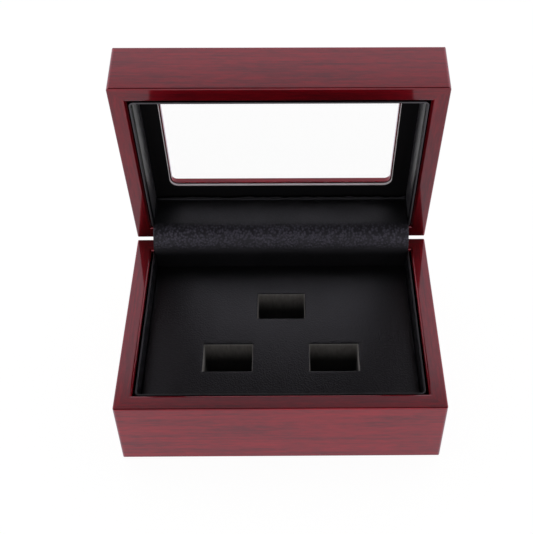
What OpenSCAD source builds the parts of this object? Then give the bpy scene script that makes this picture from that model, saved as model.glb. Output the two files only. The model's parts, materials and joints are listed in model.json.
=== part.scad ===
// Ring display box: a lacquered wooden case with a glazed, hinged lid and a padded tray with three ring
// slots. The lid is drawn standing open. Millimetres, +Z up, the origin at the centre of the underside.

/* [Case] */
// Width of the case, left to right
case_w = 160; // [130:1:220]
// Depth of the case, front to back
case_d = 115; // [100:1:160]
// Height of the base, from the underside to its rim
base_h = 41; // [39:0.5:70]
// Height of the lid, from its rim to its top
lid_h = 28; // [20:0.5:50]
// Thickness of the wooden walls
wall_t = 8.5; // [7:0.5:11]
// Angle at which the lid stands open
open_angle = 81; // [60:1:90]
// Gap between the two rims when the lid is shut
rim_gap = 0.3; // [0.1:0.1:0.8]
// Radius of the long outer edges
edge_r = 0.8; // [0.3:0.1:2]
// Radius of the inner rim edge
inner_edge_r = 1.3; // [0.2:0.1:1.5]
// Radius of the upright outer corners
corner_r = 1.5; // [0.5:0.1:4]

/* [Panels] */
// Thickness of the floor panel
floor_t = 3; // [2:0.5:6]
// Thickness of the felt under the floor
felt_t = 1; // [0.5:0.1:2]
// Width of the rabbets that hold the floor and the top frame
rabbet_w = 4; // [2:0.5:5]
// Clearance round a panel in its rabbet
panel_fit = 0.1; // [0.05:0.05:0.3]
// Thickness of the lid's top frame
frame_t = 3.2; // [2.5:0.1:8]

/* [Window] */
// From the case's side to the window opening
window_side = 19.5; // [16:0.5:40]
// From the case's front or back to the window opening
window_end = 19; // [16:0.1:35]
// Corner radius of the window opening
window_r = 3; // [1:0.5:8]
// Radius of the eased edges round the window opening
window_edge_r = 0.5; // [0.2:0.1:1]
// Thickness of the glass
glass_t = 3; // [1.5:0.5:4]
// Clearance round the glass
glass_fit = 0.5; // [0.2:0.1:1]
// Thickness of the card mat behind the glass
mat_t = 1.2; // [1:0.1:3]
// From the case's side to the opening in the mat
mat_side = 19.1; // [16:0.1:40]
// From the case's front or back to the opening in the mat
mat_end = 20.2; // [16:0.1:40]
// Corner radius of the opening in the mat
mat_r = 4.5; // [1:0.5:10]
// Clearance round the mat
mat_fit = 0.3; // [0.1:0.1:1]

/* [Liners] */
// Thickness of the leather-wrapped liner strips
liner_t = 1; // [0.8:0.1:2.5]
// Radius of the edges of a liner strip at the rim
liner_edge_r = 0.3; // [0.1:0.05:0.4]
// How far the liner strips stop below the rims
liner_drop = 0.6; // [0.2:0.1:2]
// Corner radius inside a liner strip
liner_r = 1.5; // [1:0.1:4]
// Gap between a side wall and the liner in the base
base_liner_side = 1.1; // [0.2:0.1:3]
// Gap between the front wall and the liner in the base
base_liner_front = 0.2; // [0.2:0.1:3]
// Gap between a side wall and the liner in the lid
lid_liner_side = 0.5; // [0.2:0.1:3]
// Gap between the front wall and the liner in the lid
lid_liner_front = 1.2; // [0.2:0.1:3]
// Thickness of the leather on the back walls
lining_t = 0.8; // [0.6:0.1:2]
// From a side wall to the edge of the leather on the back walls
lining_side = 1.5; // [1:0.1:5]
// Clearance between the back leather and what ends at it
lining_fit = 0.1; // [0.05:0.05:0.5]
// Width of the shallow step in the back rims that the leather folds into
step_w = 5; // [3:0.5:6]
// How far the leather over the hinges swells out between the rims
web_swell = 1.2; // [0:0.1:3]

/* [Tray] */
// How far the top of the tray lies below the rim
tray_drop = 11; // [6:0.5:13]
// Clearance between the tray and the liners
tray_fit = 0.2; // [0.1:0.1:1]
// Thickness of the leather on the tray
cover_t = 0.8; // [0.5:0.1:1.5]
// How far the tray's leather is turned down round its edge
cover_skirt = 10; // [4:0.5:16]
// Radius of the tray's upper edge and corners
tray_r = 1.2; // [1.2:0.1:3]
// Thickness of the board under the tray's leather
board_t = 2.4; // [1.5:0.1:5]
// Width of a ring slot
slot_w = 25; // [18:0.5:32]
// Length of a ring slot, front to back
slot_d = 17; // [10:0.5:24]
// Depth of a ring slot
slot_depth = 23; // [12:0.5:24]
// Radius of the leather at the mouth of a slot
mouth_r = 0.9; // [0.8:0.1:2]
// Distance between the two front slots
slot_pitch_x = 54.5; // [40:0.5:80]
// Distance from the front slots back to the middle one
slot_pitch_y = 35; // [28:0.5:50]

/* [Hinges] */
// From the case's side to the middle of a hinge
hinge_inset = 35; // [25:1:50]
// Length of a hinge
hinge_w = 24; // [16:1:35]
// Number of knuckles on a hinge
knuckles = 5; // [3:2:9]
// How far the pin's centre lies behind the case
pin_out = 0.7; // [0:0.1:2]
// Radius of the hinge pin
pin_r = 0.9; // [0.6:0.1:1.5]
// Thickness of a hinge leaf
leaf_t = 0.7; // [0.5:0.1:1.2]
// From the inside of the back wall to the edge of a leaf
leaf_margin = 2.3; // [1:0.1:4]
// Clearance round a leaf and a barrel in the wood
leaf_fit = 0.2; // [0.1:0.05:0.4]
// Running clearance of the pin in the lid's knuckles
pin_fit = 0.05; // [0.02:0.01:0.1]
// Gap between neighbouring knuckles
knuckle_gap = 0.15; // [0.1:0.05:0.4]
// How far the domed ends of the pin stand out
pin_end = 0.5; // [0.3:0.1:1]
// Distance between the two screws of a leaf
screw_pitch = 14; // [10:0.5:20]
// Radius of a screw's shank
screw_r = 0.7; // [0.5:0.1:1]
// Length of a screw
screw_l = 7; // [4:0.5:12]

/* [Hidden] */
$fn = 48;
// How far cutting shapes run past the surface that they cut
over = 1;
// Share of the screw's length that is its point
point_share = 0.3;
// Width and depth of the cross in a screw head
cross_w = 0.35;
cross_depth = 0.35;
// Number of straight stretches in the curved leather over the hinges
web_steps = 10;

// Inside of the walls
inner_w = case_w - 2 * wall_t;
inner_d = case_d - 2 * wall_t;
wall_in = case_d / 2 - wall_t;
lid_z = base_h + rim_gap;
// Window opening
window_w = case_w - 2 * window_side;
window_d = case_d - 2 * window_end;
// Depths measured from a rim into its half of the case
base_depth = base_h - floor_t - felt_t;
lid_depth = lid_h - frame_t - glass_t - mat_t;
// Hinge line, and the barrel that is a leaf rolled round the pin
pin_y = case_d / 2 + pin_out;
pin_z = base_h + rim_gap / 2;
barrel_r = pin_r + leaf_t;
leaf_top = pin_r - rim_gap / 2;
leaf_seat = leaf_top + leaf_t;
leaf_end = wall_in + leaf_margin;
leaf_mid = (leaf_end + pin_y - barrel_r) / 2;
hinge_x = case_w / 2 - hinge_inset;
knuckle_step = hinge_w / knuckles;
screw_head_r = screw_r + leaf_t;
lining_w = inner_w - 2 * lining_side;
// Liner strip in each half: middle line of its sides and front
base_liner_x = inner_w / 2 - base_liner_side - liner_t / 2;
base_liner_y = inner_d / 2 - base_liner_front - liner_t / 2;
lid_liner_x = inner_w / 2 - lid_liner_side - liner_t / 2;
lid_liner_y = inner_d / 2 - lid_liner_front - liner_t / 2;
liner_end = wall_in - lining_t - lining_fit;
// Tray
tray_z = base_h - tray_drop;
tray_front = -(base_liner_y - liner_t / 2 - tray_fit);
tray_back = wall_in - lining_t - tray_fit;
tray_w = 2 * (base_liner_x - liner_t / 2 - tray_fit);
tray_d = tray_back - tray_front;
tray_y = (tray_back + tray_front) / 2;
board_z = tray_z - cover_t - board_t;
// Middles of the slots: a front pair and one behind, centred on the case
slots = [
    [-slot_pitch_x / 2, -slot_pitch_y / 2],
    [slot_pitch_x / 2, -slot_pitch_y / 2],
    [0, slot_pitch_y / 2]
];

// ---- Places ----
// Walls, liners and leaves are drawn from their rim: z = 0 at the rim, rising into that half of the case.
module in_base() translate([0, 0, base_h]) mirror([0, 0, 1]) children();

module in_lid()
    translate([0, pin_y, pin_z]) rotate([-open_angle, 0, 0]) translate([0, -pin_y, lid_z - pin_z]) children();

// Where a point (y, z) of the shut lid lies once the lid is open
function opened(p) = [
    pin_y + (p[0] - pin_y) * cos(open_angle) + (p[1] - pin_z) * sin(open_angle),
    pin_z - (p[0] - pin_y) * sin(open_angle) + (p[1] - pin_z) * cos(open_angle)
];

// ---- Flat shapes ----
module rounded_square(w, d, r) {
    square([w - 2 * r, d], center = true);
    square([w, d - 2 * r], center = true);
    for (x = [-1, 1], y = [-1, 1]) translate([x * (w / 2 - r), y * (d / 2 - r)]) circle(r);
}

// What a rounded edge of radius r takes off a square corner at the origin
module edge_waste(r) difference() {
    translate([-over, -over]) square(r + over);
    translate([r, r]) circle(r);
}

// What rounded edges of radius r take off round a w by d opening with corners of radius corner, from z = 0 upwards
module opening_waste(w, d, corner, r) for (turn = [0, 90, 180, 270]) rotate([0, 0, turn]) {
    run = (turn % 180 == 0 ? w : d) - 2 * corner;
    reach = (turn % 180 == 0 ? d : w) / 2;
    translate([-run / 2, reach, 0]) along_x(run) edge_waste(r);
    translate([run / 2, reach - corner, 0]) rotate_extrude(angle = 90) translate([corner, 0]) edge_waste(r);
}

// Cross-section of a wall: x from its outer face inwards, y from its rim
module wall_section(h, rabbet_h) difference() {
    square([wall_t, h]);
    edge_waste(edge_r);
    translate([wall_t, 0]) mirror([1, 0]) edge_waste(inner_edge_r);
    translate([0, h]) mirror([0, 1]) edge_waste(edge_r);
    translate([wall_t - rabbet_w, h - rabbet_h]) square([rabbet_w + over, rabbet_h + over]);
}

// Cross-section of a liner strip: a thin strip whose edges at the rim are rounded
module liner_section(depth) translate([0, liner_drop]) difference() {
    translate([-liner_t / 2, 0]) square([liner_t, depth - liner_drop]);
    for (side = [0, 1]) mirror([side, 0]) translate([-liner_t / 2, 0]) edge_waste(liner_edge_r);
}

// ---- Solids that repeat ----
// A section drawn in x and y, carried along X for the given length from x = 0
module along_x(length) rotate([90, 0, 90]) linear_extrude(length) children();

// One mitred wall. turn 0 is the front, 90 the right, 180 the back and 270 the left.
module wall(turn, run, reach, h, rabbet_h) intersection() {
    rotate([0, 0, turn]) intersection() {
        translate([-run / 2, -reach, 0]) along_x(run) wall_section(h, rabbet_h);
        mitre_block(run, reach, h);
    }
    linear_extrude(h) rounded_square(case_w, case_d, corner_r);
}

// Plan of a wall between its two 45 degree mitres
module mitre_block(run, reach, h) {
    cut = wall_t + over;
    linear_extrude(h) polygon([
        [-run / 2, -reach], [run / 2, -reach], [run / 2 - cut, cut - reach], [cut - run / 2, cut - reach]
    ]);
}

// A back wall with the step for the leather and the seats of both hinges
module back_wall(h, rabbet_h) difference() {
    wall(180, case_w, case_d / 2, h, rabbet_h);
    translate([-lining_w / 2 - lining_fit, wall_in - over, -over])
        cube([lining_w + 2 * lining_fit, step_w + over, leaf_top + over]);
    for (side = [-1, 1]) at_hinge(side) hinge_seat();
}

// Recess for one leaf and its barrel, with the screws' pilot holes
module hinge_seat() {
    seat_w = hinge_w + 2 * leaf_fit;
    translate([-seat_w / 2, leaf_end - leaf_fit, -over]) cube([seat_w, wall_t + over, leaf_seat + over]);
    translate([-seat_w / 2, pin_y, -rim_gap / 2])
        rotate([0, 90, 0]) cylinder(r = barrel_r + leaf_fit, h = seat_w);
    at_screws() cylinder(r = screw_r, h = screw_l);
}

module at_screws() for (side = [-1, 1]) translate([side * screw_pitch / 2, leaf_mid, leaf_top]) children();

// Even knuckles belong to the base, odd ones to the lid
module hinge_leaf(first, bore_r) difference() {
    union() {
        translate([-hinge_w / 2, leaf_end, leaf_top]) cube([hinge_w, pin_y - leaf_end, leaf_t]);
        at_knuckles(first, knuckle_gap / 2) cylinder(r = barrel_r, h = knuckle_step - knuckle_gap);
    }
    at_knuckles(1 - first, -knuckle_gap / 2) knuckle_room();
    translate([-hinge_w / 2 - over, pin_y, -rim_gap / 2])
        rotate([0, 90, 0]) cylinder(r = bore_r, h = hinge_w + 2 * over);
    at_screws() cylinder(r1 = screw_head_r, r2 = screw_r, h = leaf_t);
}

// Places along the pin, starting inset from the edge of each knuckle's share of the hinge
module at_knuckles(first, inset) for (i = [first : 2 : knuckles - 1])
    translate([i * knuckle_step - hinge_w / 2 + inset, pin_y, -rim_gap / 2]) rotate([0, 90, 0]) children();

// Room cut in a leaf for a knuckle of the other leaf
module knuckle_room() {
    room = barrel_r + leaf_fit;
    translate([-room, -room, 0]) cube([2 * room, 2 * room, knuckle_step + knuckle_gap]);
}

// Pin with shallow domed ends, centred on the origin along X
module hinge_pin() {
    dome_r = (pin_r * pin_r + pin_end * pin_end) / (2 * pin_end);
    rotate([0, 90, 0]) {
        cylinder(r = pin_r, h = hinge_w, center = true);
        for (side = [-1, 1]) intersection() {
            translate([0, 0, side * (hinge_w / 2 + pin_end - dome_r)]) sphere(dome_r);
            translate([0, 0, side * (hinge_w + pin_end) / 2]) cylinder(r = pin_r, h = pin_end, center = true);
        }
    }
}

module hinge_pin_at(side) at_hinge(side) translate([0, pin_y, pin_z]) hinge_pin();

// Countersunk screw: its head is flush with the leaf at z = 0 and it points along +Z
module screw() difference() {
    union() {
        cylinder(r1 = screw_head_r, r2 = screw_r, h = leaf_t);
        translate([0, 0, leaf_t]) cylinder(r = screw_r, h = screw_l * (1 - point_share) - leaf_t);
        translate([0, 0, screw_l * (1 - point_share)])
            cylinder(r1 = screw_r, r2 = 0, h = screw_l * point_share);
    }
    for (turn = [0, 90]) rotate([0, 0, turn])
        translate([-screw_r, -cross_w / 2, -over]) cube([2 * screw_r, cross_w, over + cross_depth]);
}

module hinge_screws() for (side = [-1, 1]) at_hinge(side) at_screws() screw();

// Liner bent round the front and both sides, from the rim down to depth
module liner(x, y, depth) {
    bend = liner_r + liner_t / 2;
    for (side = [-1, 1]) {
        translate([side * x, bend - y, 0]) rotate([90, 0, 180])
            linear_extrude(liner_end + y - bend) liner_section(depth);
        translate([side * (x - bend), bend - y, 0]) rotate([0, 0, side > 0 ? -90 : 180])
            rotate_extrude(angle = 90) translate([bend, 0]) liner_section(depth);
    }
    translate([bend - x, -y, 0]) along_x(2 * (x - bend)) liner_section(depth);
}

// Leather on the inside of a back wall
module back_lining(depth)
    translate([-lining_w / 2, wall_in - lining_t, leaf_top]) cube([lining_w, lining_t, depth - leaf_top]);

// Block whose upper edges and corners are rounded by r, on z = 0
module soft_block(w, d, h, r) {
    linear_extrude(h - r) rounded_square(w, d, r);
    translate([0, 0, h / 2]) cube([w - 2 * r, d - 2 * r, h], center = true);
    for (side = [-1, 1]) translate([0, 0, h - r]) {
        translate([0, side * (d / 2 - r), 0])
            rotate([0, 90, 0]) cylinder(r = r, h = w - 2 * r, center = true);
        translate([side * (w / 2 - r), 0, 0])
            rotate([90, 0, 0]) cylinder(r = r, h = d - 2 * r, center = true);
        for (end = [-1, 1]) translate([side * (w / 2 - r), end * (d / 2 - r), 0]) sphere(r);
    }
}

module at_slots() for (place = slots) translate([place[0], place[1], 0]) children();

// Straight hole below height top, wider than the slot by grow on each side
module slot_hole(grow, top) translate([0, 0, top - slot_depth / 2])
    cube([slot_w + 2 * grow, slot_d + 2 * grow, slot_depth], center = true);

// What rounds one edge of a slot's mouth: run is that edge's length, and reach its distance from the middle
module mouth_edge(run, reach) intersection() {
    translate([-run / 2 - mouth_r, -reach - mouth_r, -mouth_r]) along_x(run + 2 * mouth_r) difference() {
        square([2 * mouth_r, mouth_r + over]);
        circle(mouth_r);
    }
    translate([0, 0, -mouth_r]) linear_extrude(mouth_r + over) polygon([
        [-run / 2 - mouth_r, -reach - mouth_r], [run / 2 + mouth_r, -reach - mouth_r],
        [run / 2 - mouth_r, mouth_r - reach], [mouth_r - run / 2, mouth_r - reach]
    ]);
}

module slot_mouth() for (turn = [0, 90, 180, 270]) rotate([0, 0, turn])
    mouth_edge(turn % 180 == 0 ? slot_w : slot_d, turn % 180 == 0 ? slot_d / 2 : slot_w / 2);

// ---- Base ----
module base_front_wall() color("#7a1f28") in_base() wall(0, case_w, case_d / 2, base_h, floor_t + felt_t);
module base_back_wall() color("#7a1f28") in_base() back_wall(base_h, floor_t + felt_t);
module base_left_wall() color("#7a1f28") in_base() wall(270, case_d, case_w / 2, base_h, floor_t + felt_t);
module base_right_wall() color("#7a1f28") in_base() wall(90, case_d, case_w / 2, base_h, floor_t + felt_t);

// A panel that fills the rabbets, less its clearance
module rabbet_panel(t) linear_extrude(t)
    square([inner_w + 2 * rabbet_w - 2 * panel_fit, inner_d + 2 * rabbet_w - 2 * panel_fit], center = true);

module base_floor() color("#8a6a4a") translate([0, 0, felt_t]) rabbet_panel(floor_t);
module base_felt() color("#1c1c1e") rabbet_panel(felt_t);
module base_liner() color("#202024") in_base() liner(base_liner_x, base_liner_y, base_depth);
module base_back_lining() color("#202024") in_base() back_lining(base_depth);

// ---- Tray ----
module tray_plan() translate([0, tray_y]) square([tray_w - 2 * cover_t, tray_d - 2 * cover_t], center = true);

module tray_foam() color("#2c2c30") difference() {
    translate([0, 0, felt_t + floor_t]) linear_extrude(board_z - felt_t - floor_t) tray_plan();
    at_slots() slot_hole(cover_t, tray_z);
}

module tray_board() color("#a58a62") difference() {
    translate([0, 0, board_z]) linear_extrude(board_t) tray_plan();
    at_slots() slot_hole(cover_t, tray_z);
}

// Leather over the top, turned down round the edge and into each slot
module tray_cover() color("#26262a") difference() {
    union() {
        difference() {
            translate([0, tray_y, tray_z - cover_skirt]) soft_block(tray_w, tray_d, cover_skirt, tray_r);
            translate([0, 0, tray_z - cover_skirt - over])
                linear_extrude(cover_skirt + over - cover_t) tray_plan();
        }
        at_slots() slot_hole(cover_t, tray_z);
    }
    at_slots() translate([0, 0, tray_z]) slot_mouth();
    at_slots() translate([0, 0, tray_z - slot_depth / 2])
        cube([slot_w, slot_d, slot_depth + 2 * over], center = true);
}

// ---- Hinges ----
module at_hinge(side) translate([side * hinge_x, 0, 0]) children();
module base_leaf(side) color("#c9a75a") in_base() at_hinge(side) hinge_leaf(0, pin_r);
module lid_leaf(side) color("#c9a75a") in_lid() at_hinge(side) hinge_leaf(1, pin_r + pin_fit);
module hinge_base_leaf_left() base_leaf(-1);
module hinge_base_leaf_right() base_leaf(1);
module hinge_lid_leaf_left() lid_leaf(-1);
module hinge_lid_leaf_right() lid_leaf(1);
module hinge_pin_left() color("#b8964c") hinge_pin_at(-1);
module hinge_pin_right() color("#b8964c") hinge_pin_at(1);
module hinge_base_screws() color("#b8964c") in_base() hinge_screws();
module hinge_lid_screws() color("#b8964c") in_lid() hinge_screws();

// Flexible leather from the top of the base's lining to the edge of the lid's, swelling out between them
module hinge_leather() {
    base_edge = base_h - leaf_top;
    lid_edge = lid_z + leaf_top;
    front = swelling([wall_in - lining_t, base_edge], opened([wall_in - lining_t, lid_edge]));
    back = swelling([wall_in, base_edge], opened([wall_in, lid_edge]));
    color("#2a2a2f") translate([-lining_w / 2, 0, 0]) along_x(lining_w)
        polygon(concat(front, [for (i = [web_steps : -1 : 0]) back[i]]));
}

// Points from a to b along a parabola that stands web_swell off the straight line, towards the inside
function swelling(a, b) = [
    for (i = [0 : web_steps])
        let (t = i / web_steps, run = norm(b - a), out = [a[1] - b[1], b[0] - a[0]] / run)
        a + (b - a) * t + out * 4 * web_swell * t * (1 - t)
];

// ---- Lid ----
module lid_front_wall() color("#7a1f28") in_lid() wall(0, case_w, case_d / 2, lid_h, frame_t);
module lid_back_wall() color("#7a1f28") in_lid() back_wall(lid_h, frame_t);
module lid_left_wall() color("#7a1f28") in_lid() wall(270, case_d, case_w / 2, lid_h, frame_t);
module lid_right_wall() color("#7a1f28") in_lid() wall(90, case_d, case_w / 2, lid_h, frame_t);

module lid_top_frame() color("#7a1f28") in_lid() translate([0, 0, lid_h - frame_t]) difference() {
    rabbet_panel(frame_t);
    translate([0, 0, -over]) linear_extrude(frame_t + 2 * over) rounded_square(window_w, window_d, window_r);
    opening_waste(window_w, window_d, window_r, window_edge_r);
    translate([0, 0, frame_t]) mirror([0, 0, 1]) opening_waste(window_w, window_d, window_r, window_edge_r);
}

module window_glass() color("#dfe8ea", 0.35) in_lid() translate([0, 0, lid_depth + mat_t])
    linear_extrude(glass_t) square([inner_w - 2 * glass_fit, inner_d - 2 * glass_fit], center = true);

module window_mat() color("#202024") in_lid() translate([0, 0, lid_depth])
    linear_extrude(mat_t) difference() {
        square([inner_w - 2 * mat_fit, inner_d - 2 * mat_fit], center = true);
        rounded_square(case_w - 2 * mat_side, case_d - 2 * mat_end, mat_r);
    }

module lid_liner() color("#202024") in_lid() liner(lid_liner_x, lid_liner_y, lid_depth);
module lid_back_lining() color("#202024") in_lid() back_lining(lid_depth);

base_front_wall();
base_back_wall();
base_left_wall();
base_right_wall();
base_floor();
base_felt();
base_liner();
base_back_lining();
tray_foam();
tray_board();
tray_cover();
hinge_leather();
hinge_base_leaf_left();
hinge_base_leaf_right();
hinge_pin_left();
hinge_pin_right();
hinge_base_screws();
hinge_lid_leaf_left();
hinge_lid_leaf_right();
hinge_lid_screws();
lid_front_wall();
lid_back_wall();
lid_left_wall();
lid_right_wall();
lid_top_frame();
window_glass();
window_mat();
lid_liner();
lid_back_lining();
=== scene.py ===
"""Looks of the ring display box: a lacquered case with a glazed lid, leather linings and a padded tray.

Every length below is in metres once it carries the factor MM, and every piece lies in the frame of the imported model.
A place in the lid is first worked out as if the lid were shut and is then turned open round the hinge line.
"""

import json
from math import cos, pi, radians, sin

import bmesh
import bpy
import numpy as np
from bpy.props import FloatProperty, FloatVectorProperty, PointerProperty
from mathutils import Matrix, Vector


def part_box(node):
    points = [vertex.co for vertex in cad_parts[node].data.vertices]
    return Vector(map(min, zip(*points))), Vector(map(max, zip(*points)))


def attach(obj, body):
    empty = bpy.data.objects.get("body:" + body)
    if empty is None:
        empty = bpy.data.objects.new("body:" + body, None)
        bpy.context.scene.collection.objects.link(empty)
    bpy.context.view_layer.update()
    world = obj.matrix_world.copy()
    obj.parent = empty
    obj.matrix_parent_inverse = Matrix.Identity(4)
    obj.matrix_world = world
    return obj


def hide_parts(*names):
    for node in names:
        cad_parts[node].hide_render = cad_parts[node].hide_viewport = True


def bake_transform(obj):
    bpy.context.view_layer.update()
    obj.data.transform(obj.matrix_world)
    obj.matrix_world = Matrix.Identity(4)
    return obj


bl_info = {
    "name": "Ring display box",
    "version": (1, 0, 0),
    "blender": (4, 5, 0),
    "location": "3D View > Sidebar > Ring box",
    "description": "Dresses a ring display box in lacquered wood, leather, card, glass and brass",
    "category": "Object",
}

MM = 0.001

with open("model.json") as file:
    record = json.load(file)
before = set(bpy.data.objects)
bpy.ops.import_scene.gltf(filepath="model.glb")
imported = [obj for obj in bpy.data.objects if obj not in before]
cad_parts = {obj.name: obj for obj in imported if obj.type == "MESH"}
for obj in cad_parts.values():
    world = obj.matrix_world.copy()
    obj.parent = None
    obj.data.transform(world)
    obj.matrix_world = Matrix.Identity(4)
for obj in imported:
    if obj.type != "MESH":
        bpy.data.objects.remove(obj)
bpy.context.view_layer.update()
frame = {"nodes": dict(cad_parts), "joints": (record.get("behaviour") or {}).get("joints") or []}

# The hinge line, and how far the lid turns from open to shut
HINGE = frame["joints"][0]
HINGE_Y, HINGE_Z = HINGE["pos_m"][1:]
OPEN_ANGLE = radians(HINGE["range_deg"][1])
# The way the rims face: that of the base faces up, and that of the lid faces down when the lid is shut
BASE_RIM_OUT, LID_RIM_OUT = (0, 0, 1), (0, -sin(OPEN_ANGLE), -cos(OPEN_ANGLE))

# Heights and faces that the leather pieces take from the wood and card around them
RIM_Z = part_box("base_front_wall")[1].z
FLOOR_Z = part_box("base_floor")[1].z
LID_RIM_Z = 2 * HINGE_Z - RIM_Z
LINING_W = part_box("base_back_lining")[1].x
LINING_FACE_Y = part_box("base_back_lining")[0].y


def srgb(code):
    """The linear colour of an sRGB hex code such as "#7a1f28", with alpha 1."""
    share = np.array([int(code[i : i + 2], 16) for i in (1, 3, 5)]) / 255
    linear = np.where(share <= 0.04045, share / 12.92, ((share + 0.055) / 1.055) ** 2.4)
    return (*linear.tolist(), 1.0)


# ---- Sizes and colours that a user would change ----
class RINGBOX_PG_sizes(bpy.types.PropertyGroup):
    """Sizes of the finishes and of the soft and cut pieces."""

    streak_length: FloatProperty(
        name="Streak length", description="Length of the dark streaks in the wood", default=14 * MM, unit="LENGTH"
    )
    streak_width: FloatProperty(
        name="Streak width", description="Width of the dark streaks in the wood", default=0.9 * MM, unit="LENGTH"
    )
    pebble: FloatProperty(
        name="Pebble", description="Width of a pebble in the leather's grain", default=1.2 * MM, unit="LENGTH"
    )
    lining_t: FloatProperty(
        name="Back leather", description="Thickness of the leather over the hinges", default=1 * MM, unit="LENGTH"
    )
    web_reach: FloatProperty(
        name="Web reach", description="How far the lid's leather runs past its rim before it bends down",
        default=1.9 * MM, unit="LENGTH",
    )
    web_swell: FloatProperty(
        name="Web swell", description="How far the leather over the hinges bows out", default=0.5 * MM, unit="LENGTH"
    )
    web_lift: FloatProperty(
        name="Web lift", description="How far the lid's leather stands off the wall where it bends down",
        default=1.2 * MM, unit="LENGTH",
    )
    web_bend: FloatProperty(
        name="Web bend", description="Radius of the leather's bend at the lid's rim", default=8 * MM, unit="LENGTH"
    )
    web_foot: FloatProperty(
        name="Web foot", description="Radius of the leather's bend at the base's rim", default=11 * MM, unit="LENGTH"
    )
    cover_t: FloatProperty(
        name="Tray leather", description="Thickness of the leather on the tray", default=0.8 * MM, unit="LENGTH"
    )
    mouth_r: FloatProperty(
        name="Mouth radius", description="Radius of the leather at the mouth of a slot",
        default=0.9 * MM, unit="LENGTH",
    )
    mat_bevel: FloatProperty(
        name="Mat bevel", description="Width of the sloping cut round the mat's opening",
        default=0.1 * MM, unit="LENGTH",
    )


class RINGBOX_PG_colours(bpy.types.PropertyGroup):
    """Colours of the finishes."""

    wood_light: FloatVectorProperty(
        name="Wood", description="Red of the stained wood", subtype="COLOR", size=4, default=srgb("#a3101e")
    )
    wood_dark: FloatVectorProperty(
        name="Wood streaks", description="Brown-red of the wood's streaks", subtype="COLOR", size=4,
        default=srgb("#63101a"),
    )
    leather: FloatVectorProperty(
        name="Leather", description="Black of the leather", subtype="COLOR", size=4, default=srgb("#09090a")
    )
    # A painted highlight: the paler colour the grain is painted where the leather bends over the hinges
    bend_highlight: FloatVectorProperty(
        name="Bent leather", description="Paler charcoal of the leather's grain where it bends over the hinges",
        subtype="COLOR", size=4, default=srgb("#605d69"),
    )
    card: FloatVectorProperty(
        name="Mat face", description="Black of the mat's face", subtype="COLOR", size=4, default=srgb("#060606")
    )
    card_core: FloatVectorProperty(
        name="Mat core", description="Cream of the mat's cut edge", subtype="COLOR", size=4, default=srgb("#efe6e2")
    )
    brass: FloatVectorProperty(
        name="Brass", description="Colour of the hinges", subtype="COLOR", size=4, default=srgb("#c9a253")
    )
    suede: FloatVectorProperty(
        name="Suede", description="Grey of the suede in the slots", subtype="COLOR", size=4, default=srgb("#9f9b97"),
    )
    felt: FloatVectorProperty(
        name="Felt", description="Black of the felt underneath", subtype="COLOR", size=4, default=srgb("#1b1b1d")
    )


def sizes():
    return bpy.context.scene.ringbox_sizes


def colours():
    return bpy.context.scene.ringbox_colours


# ---- Nodes ----
def add(tree, kind, inputs=None, **settings):
    """Adds a node, sets its settings, and fills its inputs with values or with other nodes' outputs.

    A Mix node has several sockets of each name, so its values are given as inputs 2 and 3, and its colours as 6 and 7.
    """
    node = tree.nodes.new(kind)
    for name, value in settings.items():
        setattr(node, name, value)
    for name, value in (inputs or {}).items():
        if isinstance(value, bpy.types.NodeSocket):
            tree.links.new(value, node.inputs[name])
        else:
            node.inputs[name].default_value = value
    return node


def new_material(name):
    """An empty node material and its tree."""
    material = bpy.data.materials.new(name)
    material.use_nodes = True
    material.node_tree.nodes.clear()
    return material, material.node_tree


def finish_material(tree, inputs):
    """Ends a tree in a Principled BSDF with the given inputs."""
    shader = add(tree, "ShaderNodeBsdfPrincipled", inputs)
    add(tree, "ShaderNodeOutputMaterial", {"Surface": shader.outputs["BSDF"]})


# ---- Materials ----
# Painted light and shade on the stain, standing in for how light falls on each face: how bright the outer faces of
# the base and of the lid, and the rims of both, are painted
BASE_PAINTED_LEVEL, LID_PAINTED_LEVEL, RIM_PAINTED_SHADE = 1.04, 0.8, 0.74
# The two stretches over which the top coat comes back beside the fold, where leaving it off paints a dark line as
# painted shade in the crease: how far inside the rim each starts and ends, and the weight of the coat past it. The
# first is the rim itself, and the second the wall past the fold.
CREASE_SHADE_COAT = ((0.5 * MM, 0.3 * MM, 0.5), (3.6 * MM, 4.4 * MM, 1.0))


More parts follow.
